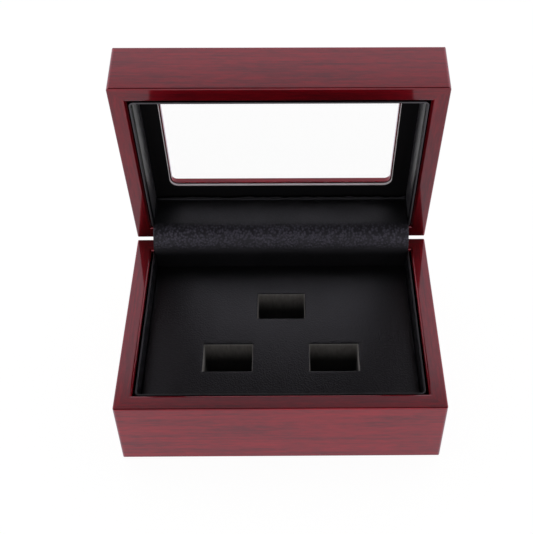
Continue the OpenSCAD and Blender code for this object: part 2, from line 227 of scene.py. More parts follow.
def lacquered_rosewood(name, in_lid, across):
    """Rosewood veneer stained red under a polished clear lacquer: fine dark streaks below a mirror-like gloss.

    The streaks run along X, or along the depth of the case where across is true, and they turn with the open lid. The
    lid is painted a little darker than the base, and the sawn rims of both darker still, as painted shade that stands
    in for how light falls on them.
    """
    material, tree = new_material(name)
    place = add(tree, "ShaderNodeTexCoord").outputs["Object"]
    turn = (OPEN_ANGLE if in_lid else 0, 0, radians(90) if across else 0)
    along = add(tree, "ShaderNodeMapping", {"Vector": place, "Rotation": turn}).outputs["Vector"]

    def streaks(length, width, detail, low, high):
        """A share from 0 to 1 that changes slowly over length and fast over width."""
        stretch = (1 / length, 1 / width, 1 / width)
        scaled = add(tree, "ShaderNodeVectorMath", {0: along, 1: stretch}, operation="MULTIPLY").outputs[0]
        noise = add(tree, "ShaderNodeTexNoise", {"Vector": scaled, "Scale": 1, "Detail": detail, "Roughness": 0.6})
        limits = {"Value": noise.outputs["Fac"], "From Min": low, "From Max": high}
        return add(tree, "ShaderNodeMapRange", limits, interpolation_type="SMOOTHSTEP").outputs["Result"]

    length, width = sizes().streak_length, sizes().streak_width
    short = streaks(0.5 * length, 1.2 * width, 2, 0.3, 0.7)
    long = streaks(6 * length, 1.5 * width, 2, 0.35, 0.65)
    broad = streaks(5 * length, 8 * width, 2, 0.3, 0.7)
    fine = add(tree, "ShaderNodeMix", {"Factor": 0.45, 2: short, 3: long}).outputs[0]
    both = add(tree, "ShaderNodeMix", {"Factor": 0.35, 2: fine, 3: broad}).outputs[0]
    stain = add(
        tree, "ShaderNodeMix", {"Factor": both, 6: colours().wood_light, 7: colours().wood_dark}, data_type="RGBA"
    ).outputs[2]
    # The rims and the lid are painted darker than the base's outer faces, as painted shade for how light falls on them
    outward = LID_RIM_OUT if in_lid else BASE_RIM_OUT
    normal = add(tree, "ShaderNodeNewGeometry").outputs["Normal"]
    toward = add(tree, "ShaderNodeVectorMath", {0: normal, 1: outward}, operation="DOT_PRODUCT").outputs["Value"]
    outer_painted_level = LID_PAINTED_LEVEL if in_lid else BASE_PAINTED_LEVEL
    limits = {"Value": toward, "From Min": 0.8, "From Max": 0.95, "To Min": outer_painted_level, "To Max": RIM_PAINTED_SHADE}
    painted_shade_level = add(tree, "ShaderNodeMapRange", limits).outputs["Result"]
    colour = add(tree, "ShaderNodeVectorMath", {0: stain, "Scale": painted_shade_level}, operation="SCALE").outputs[0]
    # Lacquer levels the surface, so only a long faint ripple is left in its gloss
    ripple = add(tree, "ShaderNodeTexNoise", {"Vector": place, "Scale": 1 / (9 * MM), "Detail": 1})
    bump = add(
        tree, "ShaderNodeBump", {"Height": ripple.outputs["Fac"], "Strength": 0.12, "Distance": 0.06 * MM}
    ).outputs["Normal"]
    # The fibres shine red through the lacquer, as silk does, and the lacquer itself shines white
    values = {"Base Color": colour, "Metallic": 0.7, "Roughness": 0.33, "Specular IOR Level": 0.0, "Normal": bump}
    values |= {"Coat Weight": 1.0, "Coat IOR": 1.5, "Coat Roughness": 0.06, "Coat Normal": bump}
    finish_material(tree, values)
    return material


def grained_leather(name, pebble, depth, roughness, polish, ior, bend=None, rim=None):
    """Black bonded leather with an embossed pebble grain under a satin top coat.

    Polish is how much smoother the tops of the pebbles are than the valleys between them. The real pebbles are about
    half as wide, and are drawn as coarse as they need to be to show.

    Where bend is given, the leather has the UV map "cut", and bend is the stretch of its V over which the leather is
    bent: there its grain stands open, and the tops of the pebbles are painted paler as a painted highlight on the
    bend. Where rim is given, it is a direction and how far along it the leather is folded over an edge: this leather
    has a glossy coat as well, which is left off beside the edge to paint a dark line there as painted shade in the
    crease.
    """
    material, tree = new_material(name)
    if bend:
        place = add(tree, "ShaderNodeUVMap", uv_map="cut").outputs["UV"]
    else:
        place = add(tree, "ShaderNodeTexCoord").outputs["Object"]
    cells = add(
        tree, "ShaderNodeTexVoronoi", {"Vector": place, "Scale": 1 / pebble, "Smoothness": 0.5}, feature="SMOOTH_F1"
    )
    pores = add(tree, "ShaderNodeTexNoise", {"Vector": place, "Scale": 2.3 / pebble, "Detail": 2, "Roughness": 0.6})
    # From about 0 in the valleys to 1 on the tops
    top = add(
        tree, "ShaderNodeMapRange", {"Value": cells.outputs["Distance"], "From Min": 0.65, "From Max": 0.15}
    ).outputs["Result"]
    height = add(tree, "ShaderNodeMath", {0: pores.outputs["Fac"], 1: 0.2, 2: top}, operation="MULTIPLY_ADD")
    # The valleys are painted darker than the tops, as painted shade in the grain
    shade = add(tree, "ShaderNodeMapRange", {"Value": top, "To Min": 0.5, "To Max": 1.3}).outputs["Result"]
    colour = add(
        tree, "ShaderNodeVectorMath", {0: colours().leather[:3], "Scale": shade}, operation="SCALE"
    ).outputs[0]
    strength = 1.0
    if bend:
        # The grain is open in the middle of the bend, and closes up towards both ends of it
        along = add(tree, "ShaderNodeSeparateXYZ", {0: place}).outputs["Y"]
        half = (bend[1] - bend[0]) / 2
        middle = (bend[0] + bend[1]) / 2 + 0.3 * half
        off = add(tree, "ShaderNodeMath", {0: along, 1: middle}, operation="SUBTRACT").outputs[0]
        off = add(tree, "ShaderNodeMath", {0: off}, operation="ABSOLUTE").outputs[0]
        limits = {"Value": off, "From Min": 0.7 * half, "From Max": 1.25 * half, "To Min": 1.0, "To Max": 0.15}
        strength = add(tree, "ShaderNodeMapRange", limits, interpolation_type="SMOOTHSTEP").outputs["Result"]
        limits = {"Value": off, "From Min": 0.3 * half, "From Max": 1.3 * half, "To Min": 1.0, "To Max": 0.0}
        bend_highlight_share = add(tree, "ShaderNodeMapRange", limits, interpolation_type="SMOOTHSTEP").outputs["Result"]
        # The tops of the pebbles in the middle of the bend are painted paler, as a painted highlight where the bend
        # catches light
        pale = add(tree, "ShaderNodeMapRange", {"Value": top, "To Min": 0.12, "To Max": 1.1}).outputs["Result"]
        pale = add(tree, "ShaderNodeMath", {0: pale, 1: bend_highlight_share}, operation="MULTIPLY").outputs[0]
        colour = add(
            tree, "ShaderNodeMix", {"Factor": pale, 6: colour, 7: colours().bend_highlight}, data_type="RGBA"
        ).outputs[2]
    bump = add(tree, "ShaderNodeBump", {"Height": height.outputs[0], "Strength": strength, "Distance": depth})
    # Handling polishes the leather unevenly, in patches a few centimetres wide
    patches = add(tree, "ShaderNodeTexNoise", {"Vector": place, "Scale": 1 / (22 * MM), "Detail": 2})
    dull = roughness + polish
    limits = {"Value": patches.outputs["Fac"], "From Min": 0.3, "From Max": 0.7}
    limits |= {"To Min": dull - 0.03, "To Max": dull + 0.03}
    worn = add(tree, "ShaderNodeMapRange", limits).outputs["Result"]
    rough = add(tree, "ShaderNodeMath", {0: top, 1: -polish, 2: worn}, operation="MULTIPLY_ADD").outputs[0]
    values = {"Base Color": colour, "Roughness": rough, "IOR": ior, "Normal": bump.outputs["Normal"]}
    if rim:
        # The coat is left off beside the fold, which paints a dark line there as painted shade in the crease
        reach = add(tree, "ShaderNodeVectorMath", {0: place, 1: rim[0]}, operation="DOT_PRODUCT").outputs["Value"]
        coat = 0
        for start, end, full in CREASE_SHADE_COAT:
            limits = {"Value": reach, "From Min": rim[1] - start, "From Max": rim[1] - end, "To Max": full}
            share = add(tree, "ShaderNodeMapRange", limits).outputs["Result"]
            coat = add(tree, "ShaderNodeMath", {0: share, 1: coat}, operation="ADD").outputs[0]
        values |= {"Coat Weight": coat, "Coat IOR": 2.7, "Coat Roughness": 0.45, "Coat Normal": values["Normal"]}
    finish_material(tree, values)
    return material


def brushed_suede(name):
    """Brushed suede: matt charcoal with a short nap, which lies in faint lighter and darker strokes."""
    material, tree = new_material(name)
    place = add(tree, "ShaderNodeTexCoord").outputs["Object"]
    # Strokes run down the wall, so they are 1.4 mm wide and 5.6 mm long in Z
    per_metre = (700, 700, 180)
    stretched = add(tree, "ShaderNodeVectorMath", {0: place, 1: per_metre}, operation="MULTIPLY").outputs[0]
    strokes = add(tree, "ShaderNodeTexNoise", {"Vector": stretched, "Scale": 1, "Detail": 4, "Roughness": 0.65})
    shade = add(tree, "ShaderNodeMapRange", {"Value": strokes.outputs["Fac"], "To Min": 0.55, "To Max": 1.45})
    # The suede is painted darker down in the slot, as painted shade in the recess
    height = add(tree, "ShaderNodeSeparateXYZ", {0: place}).outputs["Z"]
    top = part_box("tray_cover")[1].z
    limits = {"Value": height, "From Min": top - 15 * MM, "From Max": top - 1 * MM, "To Min": 0.1}
    worn = add(tree, "ShaderNodeMapRange", limits, interpolation_type="SMOOTHSTEP")
    shade = add(tree, "ShaderNodeMath", {0: shade.outputs[0], 1: worn.outputs[0]}, operation="MULTIPLY")
    tinted = add(tree, "ShaderNodeVectorMath", {0: colours().suede[:3], "Scale": shade.outputs[0]}, operation="SCALE")
    bump = add(tree, "ShaderNodeBump", {"Height": strokes.outputs["Fac"], "Strength": 0.5, "Distance": 0.08 * MM})
    values = {"Base Color": tinted.outputs[0], "Roughness": 0.9, "Specular IOR Level": 0.2, "Sheen Weight": 0.1}
    finish_material(tree, values | {"Normal": bump.outputs["Normal"]})
    return material


def mat_board(name, colour, fibre, roughness, specular):
    """Solid-core mat board: a matt paper face or a knife-cut core, with short paper fibres in it."""
    material, tree = new_material(name)
    place = add(tree, "ShaderNodeTexCoord").outputs["Object"]
    fibres = add(tree, "ShaderNodeTexNoise", {"Vector": place, "Scale": 1 / (0.4 * MM), "Detail": 3})
    shade = add(tree, "ShaderNodeMapRange", {"Value": fibres.outputs["Fac"], "To Min": 1 - fibre, "To Max": 1 + fibre})
    tinted = add(tree, "ShaderNodeVectorMath", {0: colour[:3], "Scale": shade.outputs["Result"]}, operation="SCALE")
    bump = add(tree, "ShaderNodeBump", {"Height": fibres.outputs["Fac"], "Strength": 0.4, "Distance": 0.03 * MM})
    values = {"Base Color": tinted.outputs[0], "Roughness": roughness, "Specular IOR Level": specular}
    finish_material(tree, values | {"Normal": bump.outputs["Normal"]})
    return material


def float_glass(name):
    """Clear float glass with polished faces, whose low index mirrors the room faintly."""
    material, tree = new_material(name)
    finish_material(tree, {"Base Color": (1, 1, 1, 1), "Roughness": 0.0, "IOR": 1.25, "Transmission Weight": 1.0})
    return material


def stamped_brass(name, roughness):
    """Stamped and lightly tumbled brass: warm, satin, with faint drawing lines along the hinge."""
    material, tree = new_material(name)
    place = add(tree, "ShaderNodeTexCoord").outputs["Object"]
    # The lines are 3.3 mm long and 0.25 mm wide
    per_metre = (300, 4000, 4000)
    lines = add(tree, "ShaderNodeVectorMath", {0: place, 1: per_metre}, operation="MULTIPLY").outputs[0]
    noise = add(tree, "ShaderNodeTexNoise", {"Vector": lines, "Scale": 1, "Detail": 2})
    limits = {"Value": noise.outputs["Fac"], "To Min": roughness - 0.08, "To Max": roughness + 0.08}
    rough = add(tree, "ShaderNodeMapRange", limits)
    bump = add(tree, "ShaderNodeBump", {"Height": noise.outputs["Fac"], "Strength": 0.3, "Distance": 0.02 * MM})
    values = {"Base Color": colours().brass, "Metallic": 1.0, "Roughness": rough.outputs["Result"]}
    finish_material(tree, values | {"Normal": bump.outputs["Normal"]})
    return material


def wool_felt(name):
    """Pressed wool felt: matt, with a tangle of short fibres and a little sheen."""
    material, tree = new_material(name)
    place = add(tree, "ShaderNodeTexCoord").outputs["Object"]
    fuzz = add(tree, "ShaderNodeTexNoise", {"Vector": place, "Scale": 1 / (0.5 * MM), "Detail": 5, "Roughness": 0.7})
    shade = add(tree, "ShaderNodeMapRange", {"Value": fuzz.outputs["Fac"], "To Min": 0.6, "To Max": 1.5})
    tinted = add(
        tree, "ShaderNodeVectorMath", {0: colours().felt[:3], "Scale": shade.outputs["Result"]}, operation="SCALE"
    )
    bump = add(tree, "ShaderNodeBump", {"Height": fuzz.outputs["Fac"], "Strength": 0.8, "Distance": 0.15 * MM})
    values = {"Base Color": tinted.outputs[0], "Roughness": 0.95, "Sheen Weight": 0.3}
    finish_material(tree, values | {"Normal": bump.outputs["Normal"]})
    return material


def plain_stock(name, light, dark, size, roughness):
    """Unfinished stock such as plywood, card or foam: matt, mottled at the given size."""
    material, tree = new_material(name)
    place = add(tree, "ShaderNodeTexCoord").outputs["Object"]
    mottle = add(tree, "ShaderNodeTexNoise", {"Vector": place, "Scale": 1 / size, "Detail": 4})
    colour = add(
        tree, "ShaderNodeMix", {"Factor": mottle.outputs["Fac"], 6: srgb(light), 7: srgb(dark)}, data_type="RGBA"
    )
    bump = add(tree, "ShaderNodeBump", {"Height": mottle.outputs["Fac"], "Strength": 0.5, "Distance": 0.05 * MM})
    finish_material(tree, {"Base Color": colour.outputs[2], "Roughness": roughness, "Normal": bump.outputs["Normal"]})
    return material


def paint(material, *nodes):
    """Gives CAD nodes a material."""
    for name in nodes:
        slots = frame["nodes"][name].data.materials
        slots.clear()
        slots.append(material)


# ---- Surfaces ----
def shut_to_open(points):
    """Turns points of the shut lid open round the hinge line, by minus OPEN_ANGLE about +X."""
    turned = np.array(points, float)
    y, z = turned[..., 1] - HINGE_Y, turned[..., 2] - HINGE_Z
    turned[..., 1] = HINGE_Y + y * cos(OPEN_ANGLE) + z * sin(OPEN_ANGLE)
    turned[..., 2] = HINGE_Z - y * sin(OPEN_ANGLE) + z * cos(OPEN_ANGLE)
    return turned


def lid_axis(x, y, z):
    """The direction in the open lid that is (x, y, z) in the shut one."""
    return shut_to_open([x, y, z]) - shut_to_open([0, 0, 0])


def grid_faces(rows, columns, close_rows=False, close_columns=False):
    """Quads that join each point of a rows by columns grid to its neighbours, round the ends where it closes."""
    last_row, last_column = rows if close_rows else rows - 1, columns if close_columns else columns - 1
    i, j = np.meshgrid(np.arange(last_row), np.arange(last_column), indexing="ij")
    i2, j2 = (i + 1) % rows, (j + 1) % columns
    quads = np.stack([i * columns + j, i2 * columns + j, i2 * columns + j2, i * columns + j2], -1)
    return quads.reshape(-1, 4)


def make_piece(name, parts, materials, merge=0.0, smooth=True):
    """A mesh object from (points, four-cornered faces, material number) parts.

    Doubles nearer than merge are joined, and the faces are then turned outwards.
    """
    points, faces, finishes, start = [], [], [], 0
    for part_points, part_faces, finish in parts:
        points.append(part_points.reshape(-1, 3))
        faces.append(np.array(part_faces) + start)
        finishes += [finish] * len(part_faces)
        start += len(points[-1])
    mesh = bpy.data.meshes.new(name)
    mesh.from_pydata(np.concatenate(points).tolist(), [], np.concatenate(faces).tolist())
    mesh.polygons.foreach_set("material_index", finishes)
    if merge:
        work = bmesh.new()
        work.from_mesh(mesh)
        bmesh.ops.remove_doubles(work, verts=work.verts, dist=merge)
        bmesh.ops.recalc_face_normals(work, faces=work.faces)
        work.to_mesh(mesh)
        work.free()
    mesh.polygons.foreach_set("use_smooth", np.full(len(mesh.polygons), smooth))
    for material in materials:
        mesh.materials.append(material)
    piece = bpy.data.objects.new(name, mesh)
    bpy.context.scene.collection.objects.link(piece)
    return piece


def thicken(piece, thickness):
    """Gives a piece a wall that goes inwards from its faces, and bakes it into the mesh."""
    wall = piece.modifiers.new("thickness", "SOLIDIFY")
    wall.thickness, wall.offset = thickness, -1
    evaluated = piece.evaluated_get(bpy.context.evaluated_depsgraph_get())
    mesh = bpy.data.meshes.new_from_object(evaluated)
    piece.modifiers.clear()
    piece.data = mesh


def slow_waves(a, b, reach, seed):
    """A smooth field from -1 to 1 over a and b: a sum of six sine waves whose lengths are about reach."""
    draw = np.random.default_rng(seed)
    total = np.zeros(np.broadcast(a, b).shape)
    for _ in range(6):
        angle, phase, size = draw.uniform(0, 2 * pi), draw.uniform(0, 2 * pi), draw.uniform(0.7, 1.6)
        total += np.sin(2 * pi * (a * cos(angle) + b * sin(angle)) / (reach * size) + phase)
    return total / 6


def path_lengths(path):
    """Distance along a path (N, 2) to each of its points."""
    return np.concatenate([[0], np.cumsum(np.linalg.norm(np.diff(path, axis=0), axis=1))])


def up_to(a, b, length, step):
    """Evenly spaced places from a up to b and without b, at most step apart over the length between them."""
    return np.linspace(a, b, max(2, int(np.ceil(length / step)) + 1))[:-1]


def stops(edges, step):
    """Coordinates through all edges, at most step apart."""
    edges = sorted(edges)
    return np.concatenate([*(up_to(a, b, b - a, step) for a, b in zip(edges, edges[1:])), edges[-1:]])


def rounded_path(corners, radii, step):
    """Points at most step apart along a line through corners (N, 2), each inner corner rounded by its radius.

    An arc of radius r starts and ends r * tan(turn / 2) from its corner, and its centre lies on the corner's bisector.
    Each arc has eight equal turns.
    """
    corners = np.array(corners, float)
    path = [corners[:1]]
    for before, corner, after, r in zip(corners[:-2], corners[1:-1], corners[2:], radii):
        a = (before - corner) / np.linalg.norm(before - corner)
        b = (after - corner) / np.linalg.norm(after - corner)
        half = np.arccos(np.clip(a @ b, -1, 1)) / 2
        centre = corner + (a + b) / np.linalg.norm(a + b) * r / sin(half)
        first, last = corner + a * r / np.tan(half) - centre, corner + b * r / np.tan(half) - centre
        sweep = pi - 2 * half
        share = np.linspace(0, 1, 9)[:, None]
        arc = (first * np.sin((1 - share) * sweep) + last * np.sin(share * sweep)) / sin(sweep)
        path.append(centre + arc)
    path.append(corners[-1:])
    path = np.concatenate(path)
    lengths = np.diff(path_lengths(path))
    return np.concatenate([*(up_to(a, b, c, step) for a, b, c in zip(path, path[1:], lengths)), path[-1:]])


def drop_profile(r, depth, drops):
    """How far out and down a profile lies that turns down by a quarter circle of radius r and drops on to depth."""
    angle = np.linspace(0, pi / 2, 8)
    wall = np.linspace(r, depth, drops + 1)[1:]
    out = np.concatenate([r * np.sin(angle), np.full(drops, r)])
    return out, np.concatenate([r * (1 - np.cos(angle)), wall])


def rounded_rectangle(half_w, half_d, r, per_corner):
    """Points anticlockwise round a rectangle whose corners are quarter circles of radius r."""
    angle = np.linspace(0, pi / 2, per_corner)
    quarters = []
    for turn, (x, y) in enumerate([(1, 1), (-1, 1), (-1, -1), (1, -1)]):
        a = angle + turn * pi / 2
        centre = np.array([x * (half_w - r), y * (half_d - r)])
        quarters.append(centre + r * np.stack([np.cos(a), np.sin(a)], -1))
    return np.concatenate(quarters)


# ---- Pieces ----
class RINGBOX_OT_case(bpy.types.Operator):
    """Lacquers the walls of both halves and the frame round the window"""

    bl_idname = "ringbox.case"
    bl_label = "Lacquered case"

    def execute(self, context):
        # Each finish, whether it is in the lid, whether its streaks run across, and the walls that have it
        for name, in_lid, across, *walls in (
            ("rosewood_base_long", False, False, "base_front_wall", "base_back_wall"),
            ("rosewood_base_side", False, True, "base_left_wall", "base_right_wall"),
            ("rosewood_lid_long", True, False, "lid_front_wall", "lid_back_wall", "lid_top_frame"),
            ("rosewood_lid_side", True, True, "lid_left_wall", "lid_right_wall"),
        ):
            paint(lacquered_rosewood(name, in_lid, across), *walls)
        return {"FINISHED"}


class RINGBOX_OT_window(bpy.types.Operator):
    """Glazes the lid and cuts the bevelled mat behind the glass"""

    bl_idname = "ringbox.window"
    bl_label = "Window and mat"

    def execute(self, context):
        paint(float_glass("float_glass"), "window_glass")
        face = mat_board("mat_board_face", colours().card, fibre=0.3, roughness=0.7, specular=0.15)
        core = mat_board("mat_board_core", colours().card_core, fibre=0.06, roughness=0.9, specular=0.3)
        outer_w, outer_d, depth, t = self.mat_sizes()
        # The opening's half width, half depth and corner radius on the glass, and how far its arrises are worn round
        open_w, open_d, r, worn = 60.9 * MM, 37.3 * MM, 4.5 * MM, 0.12 * MM
        bevel = sizes().mat_bevel
        loops = [
            (outer_w, outer_d, worn, 0),
            (open_w + bevel + worn, open_d + bevel + worn, r + bevel + worn, 0),
            (open_w + bevel, open_d + bevel, r + bevel, worn),
            (open_w, open_d, r, t - worn),
            (open_w, open_d, r, t),
            (outer_w, outer_d, worn, t),
        ]
        rings = []
        for half_w, half_d, radius, down in loops:
            plan = rounded_rectangle(half_w, half_d, radius, per_corner=12)
            z = np.full((len(plan), 1), LID_RIM_Z + depth + down)
            rings.append(np.concatenate([plan, z], 1))
        points = shut_to_open(rings)
        faces = grid_faces(len(rings), len(rings[0]), close_rows=True, close_columns=True)
        mat = make_piece("window_mat_bevelled", [(points, faces, 0)], [face, core], merge=0.001 * MM, smooth=False)
        # The cream core shows on the faces between the two paper ones, round the opening only
        centres = np.empty(len(mat.data.polygons) * 3)
        mat.data.polygons.foreach_get("center", centres)
        off = centres.reshape(-1, 3) - shut_to_open([0, 0, LID_RIM_Z + depth])
        sunk, along, paper = off @ lid_axis(0, 0, 1), off @ lid_axis(0, 1, 0), 0.3 * worn
        cut = (sunk > paper) & (sunk < t - paper)
        cut &= (np.abs(off[:, 0]) < open_w + bevel + worn) & (np.abs(along) < open_d + bevel + worn)
        mat.data.polygons.foreach_set("material_index", cut.astype(np.int32))
        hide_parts("window_mat")
        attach(mat, "lid")
        return {"FINISHED"}

    def mat_sizes(self):
        """Half width, half depth, depth below the lid's rim, and thickness of the CAD mat when the lid is shut."""
        vertices = frame["nodes"]["window_mat"].data.vertices
        points = np.empty(len(vertices) * 3)
        vertices.foreach_get("co", points)
        points = points.reshape(-1, 3)
        y, z = points[:, 1] - HINGE_Y, points[:, 2] - HINGE_Z
        shut_y = HINGE_Y + y * cos(OPEN_ANGLE) - z * sin(OPEN_ANGLE)
        shut_z = HINGE_Z + y * sin(OPEN_ANGLE) + z * cos(OPEN_ANGLE)
        return points[:, 0].max(), np.ptp(shut_y) / 2, shut_z.min() - LID_RIM_Z, np.ptp(shut_z)


class RINGBOX_OT_liners(bpy.types.Operator):
    """Wraps the liner strips of both halves in smooth leather"""

    bl_idname = "ringbox.liners"
    bl_label = "Liners"

    def execute(self, context):
        pebble, depth = 0.6 * sizes().pebble, 0.01 * MM
        leather = grained_leather("base_liner_leather", pebble, depth, roughness=0.4, polish=0.05, ior=1.5)
        paint(leather, "base_liner")
        # The lid's strips are folded over its rim, which is as far out as they reach
        liner = frame["nodes"]["lid_liner"].data.vertices
        rim = (LID_RIM_OUT, max(vertex.co.dot(LID_RIM_OUT) for vertex in liner))
        leather = grained_leather("lid_liner_leather", pebble, depth, roughness=0.5, polish=0.05, ior=1.15, rim=rim)
        paint(leather, "lid_liner")
        return {"FINISHED"}


# How far the lid's end of the back leather turns up along the mat, how unevenly that is cut by hand, the radius of
# the turn, and how far it stays clear of the mat
TURN_UP, TURN_UNEVEN, TURN_R, TURN_CLEAR = 2.3 * MM, 1.1 * MM, 1.6 * MM, 0.1 * MM


class RINGBOX_OT_back_leather(bpy.types.Operator):
    """Lays one strip of leather down the back of the base, over the hinges and along the back of the lid"""

    bl_idname = "ringbox.back_leather"
    bl_label = "Back leather"

    def execute(self, context):
        # The end turns up before the mat, where it leaves room for the leather's own thickness
        turn_z = self.lining_end() - sizes().lining_t - TURN_CLEAR
        shut_line = [
            [0, LINING_FACE_Y - sizes().web_lift, LID_RIM_Z - sizes().web_reach],
            [0, LINING_FACE_Y, turn_z],
            [0, LINING_FACE_Y - TURN_UP, turn_z],
        ]
        lid_line = shut_to_open(shut_line)[:, 1:]
        # How far over the base's rim the leather bends, how far it ripples, and the grid's steps along and across it
        over_rim, ripple, step_along, step_across = 0.4 * MM, 0.16 * MM, 0.4 * MM, 1.2 * MM
        corners = [[LINING_FACE_Y, FLOOR_Z], [LINING_FACE_Y, RIM_Z + over_rim], *lid_line]
        path = rounded_path(corners, [sizes().web_foot, sizes().web_bend, TURN_R], step_along)
        run = path_lengths(path)
        # The web bows out between its two bends, as the square of a sine
        first, last = np.array(corners[1]), np.array(corners[2])
        chord = (last - first) / np.linalg.norm(last - first)
        share = np.clip(((path - first) @ chord) / np.linalg.norm(last - first), 0, 1)
        out = np.array([-chord[1], chord[0]])
        bow = sizes().web_swell * np.sin(pi * share) ** 2
        x = stops([-LINING_W, LINING_W], step_across)
        waves = slow_waves(x[:, None], run, reach=24 * MM, seed=3)
        yz = path + (bow + ripple * waves * np.sin(pi * share))[..., None] * out
        # The height of the turned end varies along X, by a share that grows from 0 at the turn to 1 at the cut
        turned = np.clip((run - run[-1]) / TURN_UP + 1, 0, 1)
        uneven = TURN_UNEVEN * slow_waves(x, 0 * x, reach=9 * MM, seed=5)[:, None] * turned
        yz += uneven[..., None] * (lid_line[2] - lid_line[1]) / TURN_UP
        points = np.concatenate([np.broadcast_to(x[:, None, None], (len(x), len(run), 1)), yz], 2)
        # The two bends are where the leather is nearest to their corners
        bend = [run[np.argmin(np.linalg.norm(path - corner, axis=1))] for corner in corners[1:3]]
        leather = grained_leather(
            "back_leather_pebbled", sizes().pebble, depth=0.14 * MM, roughness=0.38, polish=0.1, ior=1.4, bend=bend
        )
        faces = grid_faces(len(x), len(run))[:, ::-1]
        piece = make_piece("back_leather", [(points, faces, 0)], [leather])
        layer = piece.data.uv_layers.new(name="cut")
        cut = np.stack(np.broadcast_arrays(x[:, None] + LINING_W, run), -1).reshape(-1, 2)
        corner_of = np.empty(len(piece.data.loops), np.int32)
        piece.data.loops.foreach_get("vertex_index", corner_of)
        layer.data.foreach_set("uv", cut[corner_of].ravel())
        thicken(piece, sizes().lining_t)
        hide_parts("base_back_lining", "hinge_leather", "lid_back_lining")
        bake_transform(piece)
        return {"FINISHED"}

    def lining_end(self):
        """Height of the end of the lid's lining when the lid is shut."""
        end_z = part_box("lid_back_lining")[1].z
        rim_z = shut_to_open([0, LINING_FACE_Y, LID_RIM_Z])[2]
        return LID_RIM_Z + (end_z - rim_z) / lid_axis(0, 0, 1)[2]


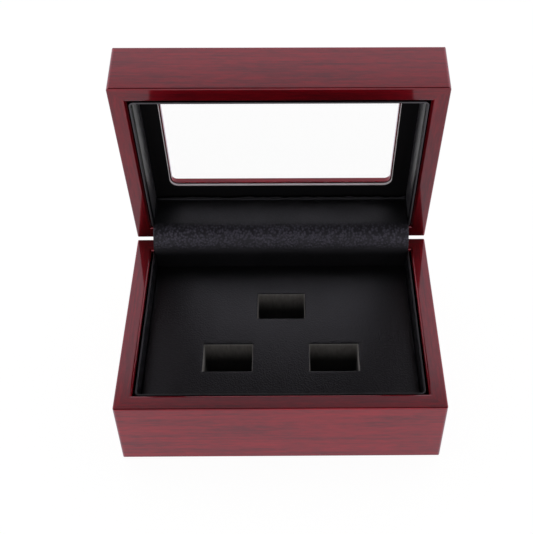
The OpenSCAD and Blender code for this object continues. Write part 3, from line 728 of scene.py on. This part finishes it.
class RINGBOX_OT_tray(bpy.types.Operator):
    """Covers the tray in leather that turns down into three slots and round its edge"""

    bl_idname = "ringbox.tray"
    bl_label = "Tray"

    def execute(self, context):
        low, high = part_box("tray_cover")
        edge_r, skirt, mouth, step = 0.6 * MM, 10 * MM, sizes().mouth_r, 1.3 * MM
        # A slot's width and its depths to the back and down, and the middles of the two in front and the one behind
        slot_w, slot_d, depth = 25 * MM, 17 * MM, 23 * MM
        places = [(-27.25 * MM, -17.5 * MM), (27.25 * MM, -17.5 * MM), (0, 17.5 * MM)]
        half = np.array([slot_w, slot_d]) / 2 + mouth
        x_edges = [low.x + edge_r, high.x - edge_r] + [p[0] + side * half[0] for p in places for side in (-1, 1)]
        y_edges = [low.y + edge_r, high.y - edge_r] + [p[1] + side * half[1] for p in places[1:] for side in (-1, 1)]
        xs, ys = stops(x_edges, step), stops(y_edges, step)
        gx, gy = np.meshgrid(xs, ys, indexing="ij")
        top = np.stack([gx, gy, self.top_height(gx, gy, high.z)], -1)
        faces = grid_faces(len(xs), len(ys))
        centre = top.reshape(-1, 3)[faces].mean(1)
        for px, py in places:
            keep = (np.abs(centre[:, 0] - px) > half[0]) | (np.abs(centre[:, 1] - py) > half[1])
            faces, centre = faces[keep], centre[keep]
        parts = [(top, faces, 0)]
        for number, (px, py) in enumerate(places):
            points, rim, walls = self.slot(xs, ys, px, py, half, mouth, depth, high.z, number)
            parts += [(points, rim, 0), (points, walls, 1)]
        parts.append((*self.edge(xs, ys, edge_r, skirt, high.z), 0))
        leather = grained_leather(
            "tray_leather_fine", 0.7 * sizes().pebble, depth=0.05 * MM, roughness=0.3, polish=0.06, ior=1.41
        )
        cover = make_piece("tray_leather", parts, [leather, brushed_suede("slot_suede")], merge=0.02 * MM)
        thicken(cover, sizes().cover_t)
        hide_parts("tray_cover")
        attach(cover, "base")
        paint(plain_stock("tray_board_card", "#a58a62", "#8d744f", size=1.5 * MM, roughness=0.9), "tray_board")
        paint(plain_stock("tray_foam_black", "#17171a", "#0c0c0e", size=0.6 * MM, roughness=1.0), "tray_foam")
        return {"FINISHED"}

    def top_height(self, x, y, z):
        """Height of the tray's leather: 0.06 mm under z, with waves up to 0.05 mm high and a few centimetres long."""
        return z - 0.06 * MM + 0.05 * MM * slow_waves(x, y, reach=45 * MM, seed=7)

    def slot(self, xs, ys, px, py, half, mouth, depth, z, number):
        """The mouth and walls of a slot, as points and as the faces in leather and in suede.

        The loop is the rectangle of half sizes a, b round the slot. At inset s a loop point (x, y) lies at
        (x (a - s) / a, y (b - s) / b). The profile is a quarter circle of radius mouth, then a straight wall.
        """
        a, b = half
        # The loop takes up the grid's own places, and near is what rounding may move them by
        near = 1e-7
        lx = xs[(xs > px - a - near) & (xs < px + a + near)] - px
        ly = ys[(ys > py - b - near) & (ys < py + b + near)] - py
        loop = np.concatenate(
            [
                np.stack([lx[:-1], np.full(len(lx) - 1, -b)], -1),
                np.stack([np.full(len(ly) - 1, a), ly[:-1]], -1),
                np.stack([lx[:0:-1], np.full(len(lx) - 1, b)], -1),
                np.stack([np.full(len(ly) - 1, -a), ly[:0:-1]], -1),
            ]
        )
        inset, down = drop_profile(mouth, depth, drops=13)
        at = np.cumsum(np.linalg.norm(np.diff(loop, axis=0, append=loop[:1]), axis=1))
        # The leather stands off the wall a little in slow folds that run down it, and not at the mouth
        fold = 0.18 * MM * slow_waves(at[:, None], down * 0.25, reach=12 * MM, seed=20 + number)
        s = inset + np.maximum(fold, 0) * np.clip(down / (4 * MM), 0, 1)
        plan = np.stack([loop[:, :1] * (a - s) / a, loop[:, 1:] * (b - s) / b], -1)
        height = self.top_height(px + loop[:, :1], py + loop[:, 1:], z) - down
        points = np.concatenate([plan + [px, py], height[..., None]], 2)
        faces = grid_faces(len(loop), len(down), close_rows=True).reshape(len(loop), -1, 4)
        # The leather ends just past the middle of the quarter circle, and the suede goes on from there
        leather_rows = 4
        return points, faces[:, :leather_rows].reshape(-1, 4), faces[:, leather_rows:].reshape(-1, 4)

    def edge(self, xs, ys, r, skirt, z):
        """The rounded edge and skirt: a quarter circle of radius r, then straight down, fanned round the corners."""
        x0, x1, y0, y1 = xs[0], xs[-1], ys[0], ys[-1]
        sides = [
            (np.stack([xs, np.full(len(xs), y0)], -1), -pi / 2),
            (np.stack([np.full(len(ys), x1), ys], -1), 0.0),
            (np.stack([xs[::-1], np.full(len(xs), y1)], -1), pi / 2),
            (np.stack([np.full(len(ys), x0), ys[::-1]], -1), pi),
        ]
        loop, facing = [], []
        for points, angle in sides:
            fan = np.linspace(angle, angle + pi / 2, 7)[1:-1]
            loop += [points, np.repeat(points[-1:], len(fan), 0)]
            facing += [np.full(len(points), angle), fan]
        loop, facing = np.concatenate(loop), np.concatenate(facing)
        normal = np.stack([np.cos(facing), np.sin(facing)], -1)
        reach, down = drop_profile(r, skirt, drops=5)
        plan = loop[:, None, :] + normal[:, None, :] * reach[:, None]
        height = self.top_height(loop[:, :1], loop[:, 1:], z) - down
        points = np.concatenate([plan, height[..., None]], 2)
        return points, grid_faces(len(loop), len(down), close_rows=True)


class RINGBOX_OT_hinges(bpy.types.Operator):
    """Gives the hinge leaves, pins and screws their brass"""

    bl_idname = "ringbox.hinges"
    bl_label = "Hinges"

    def execute(self, context):
        leaves = ["hinge_base_leaf_left", "hinge_base_leaf_right", "hinge_lid_leaf_left", "hinge_lid_leaf_right"]
        paint(stamped_brass("hinge_brass", roughness=0.3), *leaves, "hinge_pin_left", "hinge_pin_right")
        paint(stamped_brass("screw_brass", roughness=0.38), "hinge_base_screws", "hinge_lid_screws")
        return {"FINISHED"}


class RINGBOX_OT_underside(bpy.types.Operator):
    """Finishes the floor panel and the felt under it"""

    bl_idname = "ringbox.underside"
    bl_label = "Underside"

    def execute(self, context):
        paint(plain_stock("floor_plywood", "#a8845c", "#8a6842", size=2 * MM, roughness=0.8), "base_floor")
        paint(wool_felt("felt_black"), "base_felt")
        return {"FINISHED"}


# ---- Stage ----
# The middle of the dim part of the room and its inner and outer rims as angles from there, the levels of light in the
# room on matt surfaces and in gloss, the shares of them that are left in the dim part and on the dark ceiling, and the
# faint violet of the room in gloss
DIM_MIDDLE = (0, -0.94, 0.34)
DIM_RIMS = (radians(50), radians(95))
MATT_LEVEL, GLOSS_LEVEL = 0.85, 1.15
MATT_DIM, GLOSS_CEILING = 0.2, 0.12
GLOSS_TINT = (1.0, 0.97, 1.1)
# The ceiling that shows in gloss: its height, half its width, its front and back edges, and how far the back one fades
CEILING_Z, CEILING_X, CEILING_Y, CEILING_FADE = 0.742, 1.2, (-0.95, 0.53), 0.15
# The share of the floor that is even white, where it is seen and where it lights the object or shows in its gloss, and
# the level of that white
SEEN_WHITE, UNSEEN_WHITE, WHITE_LEVEL = 0.9, 0.6, 1.07


class RINGBOX_OT_stage(bpy.types.Operator):
    """Sets out the pale floor, the dark ceiling, the white room and the camera"""

    bl_idname = "ringbox.stage"
    bl_label = "Stage"

    def execute(self, context):
        self.floor()
        self.ceiling()
        self.world()
        self.camera()
        context.scene.view_settings.view_transform = "Standard"
        return {"FINISHED"}

    def floor(self):
        """A white floor that keeps a pale shadow: most of what is seen of it is even white."""
        reach = 3.0
        points = np.array([[-reach, -reach, 0], [reach, -reach, 0], [reach, reach, 0], [-reach, reach, 0]])
        material, tree = new_material("white_floor")
        lit = add(tree, "ShaderNodeBsdfDiffuse", {"Color": srgb("#f2f2f2")})
        pair = {"Factor": self.seen(tree), 6: (*GLOSS_TINT, 1), 7: (1, 1, 1, 1)}
        tint = add(tree, "ShaderNodeMix", pair, data_type="RGBA")
        even = add(tree, "ShaderNodeEmission", {"Color": tint.outputs[2], "Strength": WHITE_LEVEL})
        share = add(tree, "ShaderNodeMix", {"Factor": self.seen(tree), 2: UNSEEN_WHITE, 3: SEEN_WHITE})
        mixed = add(
            tree, "ShaderNodeMixShader", {0: share.outputs[0], 1: lit.outputs["BSDF"], 2: even.outputs["Emission"]}
        )
        add(tree, "ShaderNodeOutputMaterial", {"Surface": mixed.outputs["Shader"]})
        floor = make_piece("floor", [(points, [[0, 1, 2, 3]], 0)], [material], smooth=False)

    def seen(self, tree):
        """Is 1 for what the camera sees directly or through glass, and otherwise 0."""
        path = add(tree, "ShaderNodeLightPath").outputs
        either = {0: path["Is Camera Ray"], 1: path["Is Transmission Ray"]}
        return add(tree, "ShaderNodeMath", either, operation="MAXIMUM").outputs[0]

    def ceiling(self):
        """A dark ceiling that only gloss shows, and that fades into the white room at its back edge."""
        front, back = CEILING_Y
        x, z = CEILING_X, CEILING_Z
        points = np.array([[-x, front, z], [-x, back, z], [x, back, z], [x, front, z]])
        material, tree = new_material("dark_ceiling")
        place = add(tree, "ShaderNodeTexCoord").outputs["Object"]
        y = add(tree, "ShaderNodeSeparateXYZ", {0: place}).outputs["Y"]
        limits = {"Value": y, "From Min": back - CEILING_FADE, "From Max": back}
        limits |= {"To Min": GLOSS_CEILING * GLOSS_LEVEL, "To Max": GLOSS_LEVEL}
        level = add(tree, "ShaderNodeMapRange", limits, interpolation_type="SMOOTHSTEP")
        shine = add(tree, "ShaderNodeEmission", {"Color": (*GLOSS_TINT, 1), "Strength": level.outputs["Result"]})
        add(tree, "ShaderNodeOutputMaterial", {"Surface": shine.outputs["Emission"]})
        ceiling = make_piece("ceiling", [(points, [[0, 1, 2, 3]], 0)], [material], smooth=False)
        ceiling.visible_camera = ceiling.visible_diffuse = ceiling.visible_transmission = False
        ceiling.visible_volume_scatter = ceiling.visible_shadow = False

    def world(self):
        """A white room, dim in front and overhead.

        What is seen of it directly or through the glass is even white. Its light on matt surfaces falls to
        MATT_DIM between the outer and the inner rim of a cone round DIM_MIDDLE.
        """
        world = bpy.data.worlds.new("white_room")
        world.use_nodes = True
        tree = world.node_tree
        tree.nodes.clear()
        direction = add(tree, "ShaderNodeTexCoord").outputs["Generated"]
        toward = add(tree, "ShaderNodeVectorMath", {0: direction, 1: DIM_MIDDLE}, operation="DOT_PRODUCT")
        inner, outer = DIM_RIMS
        limits = {"Value": toward.outputs["Value"], "From Min": cos(outer), "From Max": cos(inner)}
        limits |= {"To Min": MATT_LEVEL, "To Max": MATT_LEVEL * MATT_DIM}
        matt = add(tree, "ShaderNodeMapRange", limits, interpolation_type="SMOOTHSTEP").outputs[0]
        glossy = add(tree, "ShaderNodeLightPath").outputs["Is Glossy Ray"]
        light = add(tree, "ShaderNodeMix", {"Factor": glossy, 2: matt, 3: GLOSS_LEVEL}).outputs[0]
        strength = add(tree, "ShaderNodeMix", {"Factor": self.seen(tree), 2: light, 3: 1.0})
        tint = add(tree, "ShaderNodeMix", {"Factor": glossy, 6: (1, 1, 1, 1), 7: (*GLOSS_TINT, 1)}, data_type="RGBA")
        shine = add(tree, "ShaderNodeBackground", {"Color": tint.outputs[2], "Strength": strength.outputs[0]})
        add(tree, "ShaderNodeOutputWorld", {"Surface": shine.outputs["Background"]})
        world.cycles.sampling_method = "NONE"
        bpy.context.scene.world = world

    def camera(self):
        """A camera that looks down at 45.5 degrees from in front, shifted so that its axis is off the middle."""
        place = np.array([4.796, -325.176, 419.405]) * MM
        pitch, yaw, roll = radians(45.495), radians(0.669), radians(-0.222)
        ahead = np.array([sin(yaw) * cos(pitch), cos(yaw) * cos(pitch), -sin(pitch)])
        right = np.array([cos(yaw), -sin(yaw), 0])
        down = np.cross(ahead, right)
        right, down = right * cos(roll) + down * sin(roll), down * cos(roll) - right * sin(roll)
        width, height = 533, 534
        focal, axis_x, axis_y = 963.49, 297.858, 252.48
        data = bpy.data.cameras.new("camera")
        data.sensor_width = 36
        data.lens = focal * data.sensor_width / height
        data.shift_x = (width / 2 - axis_x) / height
        data.shift_y = (axis_y - height / 2) / height
        data.clip_start, data.clip_end = 0.01, 20
        camera = bpy.data.objects.new("camera", data)
        # The columns of its matrix are its right, its up, its back and its place
        columns = np.column_stack([right, -down, -ahead, place])
        camera.matrix_world = Matrix(np.vstack([columns, [0, 0, 0, 1]]).tolist())
        bpy.context.scene.collection.objects.link(camera)
        bpy.context.scene.camera = camera


# ---- Panel ----
PIECES = (
    RINGBOX_OT_case,
    RINGBOX_OT_window,
    RINGBOX_OT_liners,
    RINGBOX_OT_back_leather,
    RINGBOX_OT_tray,
    RINGBOX_OT_hinges,
    RINGBOX_OT_underside,
    RINGBOX_OT_stage,
)


class RINGBOX_PT_panel(bpy.types.Panel):
    """Lists the box's pieces, sizes and colours"""

    bl_idname = "RINGBOX_PT_panel"
    bl_label = "Ring box"
    bl_space_type = "VIEW_3D"
    bl_region_type = "UI"
    bl_category = "Ring box"

    def draw(self, context):
        for piece in PIECES:
            self.layout.operator(piece.bl_idname)
        for group in (sizes(), colours()):
            for name in group.bl_rna.properties.keys():
                if name not in ("rna_type", "name"):
                    self.layout.prop(group, name)


CLASSES = (RINGBOX_PG_sizes, RINGBOX_PG_colours, *PIECES, RINGBOX_PT_panel)


def register():
    for each in CLASSES:
        bpy.utils.register_class(each)
    bpy.types.Scene.ringbox_sizes = PointerProperty(type=RINGBOX_PG_sizes)
    bpy.types.Scene.ringbox_colours = PointerProperty(type=RINGBOX_PG_colours)


def unregister():
    del bpy.types.Scene.ringbox_colours
    del bpy.types.Scene.ringbox_sizes
    for each in reversed(CLASSES):
        bpy.utils.unregister_class(each)


def main():
    register()
    bpy.ops.ringbox.case()
    bpy.ops.ringbox.window()
    bpy.ops.ringbox.liners()
    bpy.ops.ringbox.back_leather()
    bpy.ops.ringbox.tray()
    bpy.ops.ringbox.hinges()
    bpy.ops.ringbox.underside()
    bpy.ops.ringbox.stage()


if __name__ == "__main__":
    main()
